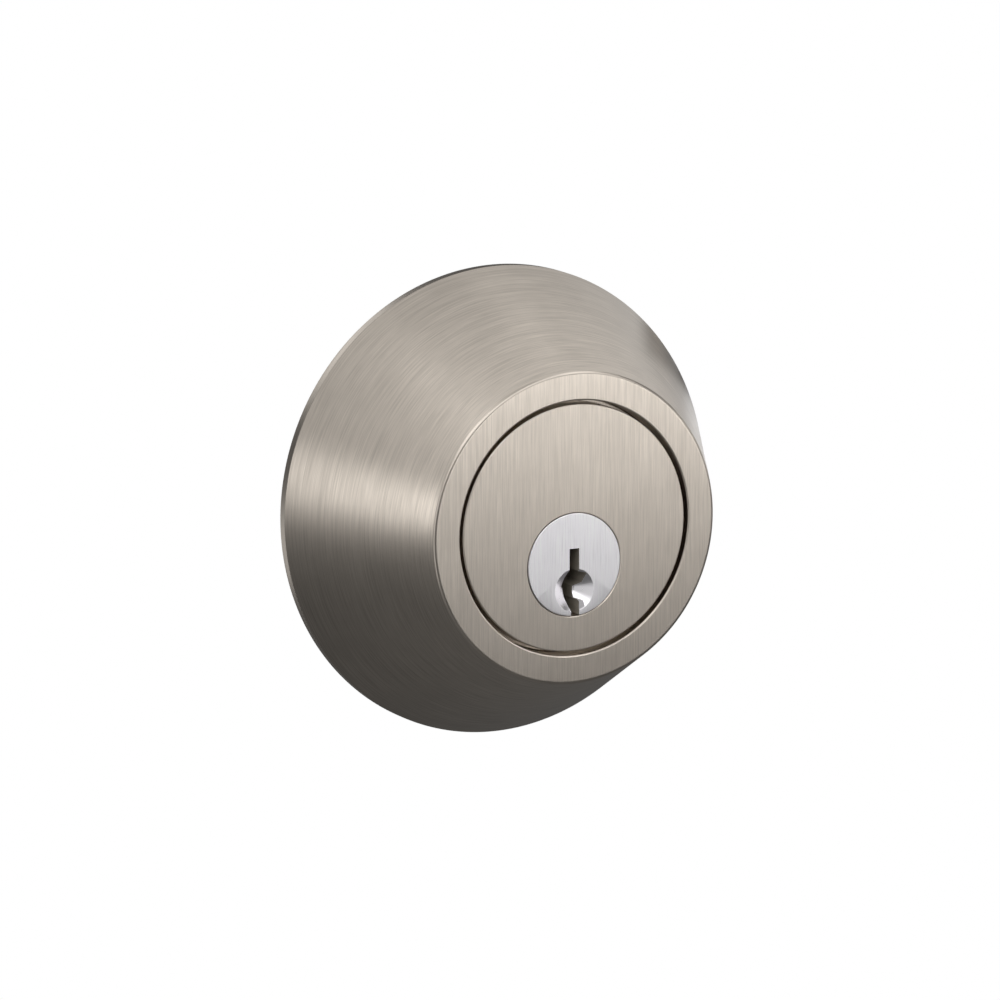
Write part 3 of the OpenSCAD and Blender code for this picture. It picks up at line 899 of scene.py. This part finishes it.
def make_door_skin(material):
    """The door's outside skin with its round bore. It hides what the door hides from outside."""
    ring = []
    square = []
    for k in range(SKIN_STEPS):
        a = math.tau * k / SKIN_STEPS
        ring.append((DOOR_BORE_R * math.cos(a), SKIN_Y, DOOR_BORE_R * math.sin(a)))
        stretch = SKIN_REACH / max(abs(math.cos(a)), abs(math.sin(a)))
        x = min(stretch * math.cos(a), DOOR_EDGE_X)
        square.append((x, SKIN_Y, stretch * math.sin(a)))
    faces = []
    for k in range(SKIN_STEPS):
        n = (k + 1) % SKIN_STEPS
        faces.append((k, SKIN_STEPS + k, SKIN_STEPS + n, n))
    stage_mesh("door_skin", ring + square, faces, material)


def make_edge_skin(material):
    """The skin of the door's edge, open where the faceplate covers it."""
    x = DOOR_EDGE_X - EDGE_SKIN_BACK
    middle_y = (plate_low.y + plate_high.y) / 2
    half_y, half_z = EDGE_OPENING
    r = SKIN_REACH
    outer = [(SKIN_Y, -r), (DOOR_T, -r), (DOOR_T, r), (SKIN_Y, r)]
    inner = [(middle_y + a * half_y, b * half_z) for a, b in ((-1, -1), (1, -1), (1, 1), (-1, 1))]
    points = [(x, y, z) for y, z in outer + inner]
    faces = [(k, (k + 1) % 4, 4 + (k + 1) % 4, 4 + k) for k in range(4)]
    stage_mesh("door_edge", points, faces, material)


def direction(azimuth, elevation):
    """A unit vector: azimuth in degrees from straight outside towards the door's edge."""
    a, e = math.radians(azimuth), math.radians(elevation)
    return Vector((math.sin(a) * math.cos(e), -math.cos(a) * math.cos(e), math.sin(e)))


# name: azimuth, elevation, distance, width, height, raised by, power in watts
LIGHTS = {
    "face_high": (28, -11, 0.2, 0.2, 0.033, 0.06, 0.047),
    "face_middle": (28, -11, 0.2, 0.2, 0.033, 0.035, 0.018),
    "face_low": (28, -11, 0.2, 0.2, 0.033, 0.02, 0.013),
    "left": (-99, 6, 1.0, 0.5, 0.34, 0, 0.85),
    "upper_left": (-105, 45, 1.0, 0.5, 0.8, 0, 0.72),
    "over": (180, 80, 1.0, 0.9, 0.6, 0, 1.04),
    "right_back": (130, 26, 1.0, 0.6, 1.35, 0, 1.55),
    "side": (86, 7, 1.0, 0.5, 0.45, 0, 0.5),
    "front_left": (-56, 5, 1.0, 0.55, 1.3, 0, 1.5),
    "front_top": (5, 42, 1.2, 2.2, 0.8, 0, 6.5),
    "front_corner": (-62, 52, 1.0, 0.7, 0.5, 0, 1.3),
    "front_peak": (68, 60, 1.0, 0.6, 0.4, 0, 1.0),
    "room_high": (-168, 30, 1.2, 0.6, 0.6, 0, 1.2),
    "room_low": (-152, -16, 1.0, 0.4, 0.3, 0, 0.25),
}
LIGHT_CENTRE = Vector((0, -12 * MM, 0))
WORLD_STRENGTH = 0.104

# The near card that the cone's right flank mirrors, from its low to its high x and z.
CARD_LOW = (34 * MM, -26 * MM)
CARD_HIGH = (58 * MM, 24 * MM)
CARD_Y = 2 * MM
CARD_POWER = 0.0015


def make_light(name, place, towards, width, height, power):
    """A rectangular lamp that faces away from the direction towards, and isn't seen itself."""
    data = bpy.data.lights.new(name, "AREA")
    data.shape = "RECTANGLE"
    data.size = width
    data.size_y = height
    data.energy = power
    light = bpy.data.objects.new(name, data)
    light.location = place
    light.rotation_mode = "QUATERNION"
    light.rotation_quaternion = towards.to_track_quat("Z", "Y")
    light.visible_camera = False
    bpy.context.scene.collection.objects.link(light)


def make_lights():
    """The lamps round the lock, the near card and an even light from everywhere."""
    for name, (azimuth, elevation, distance, width, height, raised, power) in LIGHTS.items():
        towards = direction(azimuth, elevation)
        place = LIGHT_CENTRE + towards * distance + Vector((0, 0, raised))
        make_light(name, place, towards, width, height, power)
    middle = Vector(((CARD_LOW[0] + CARD_HIGH[0]) / 2, CARD_Y, (CARD_LOW[1] + CARD_HIGH[1]) / 2))
    width, height = CARD_HIGH[0] - CARD_LOW[0], CARD_HIGH[1] - CARD_LOW[1]
    make_light("card", middle, Vector((0, 1, 0)), width, height, CARD_POWER)
    world = bpy.data.worlds.new("studio")
    world.use_nodes = True
    background = world.node_tree.nodes["Background"]
    background.inputs["Color"].default_value = (1, 1, 1, 1)
    background.inputs["Strength"].default_value = WORLD_STRENGTH
    bpy.context.scene.world = world


CAMERA_AZIMUTH = -28
CAMERA_ELEVATION = 11.3
CAMERA_DISTANCE = 1.0
SENSOR_WIDTH = 36  # mm, as the lens is
LENS = 262.4
SHIFT_X = 0.0076
SHIFT_Y = -0.002


def make_camera():
    """Long lens, from the left and a little above, as a catalogue picture is taken."""
    back = direction(CAMERA_AZIMUTH, CAMERA_ELEVATION)
    data = bpy.data.cameras.new("camera")
    data.sensor_width = SENSOR_WIDTH
    data.lens = LENS
    data.shift_x = SHIFT_X
    data.shift_y = SHIFT_Y
    camera = bpy.data.objects.new("camera", data)
    camera.location = back * CAMERA_DISTANCE
    camera.rotation_mode = "QUATERNION"
    camera.rotation_quaternion = back.to_track_quat("Z", "Y")
    bpy.context.scene.collection.objects.link(camera)
    bpy.context.scene.camera = camera


bpy.context.scene.view_settings.view_transform = "Standard"
make_camera()
make_pieces()
make_stage()
make_lights()
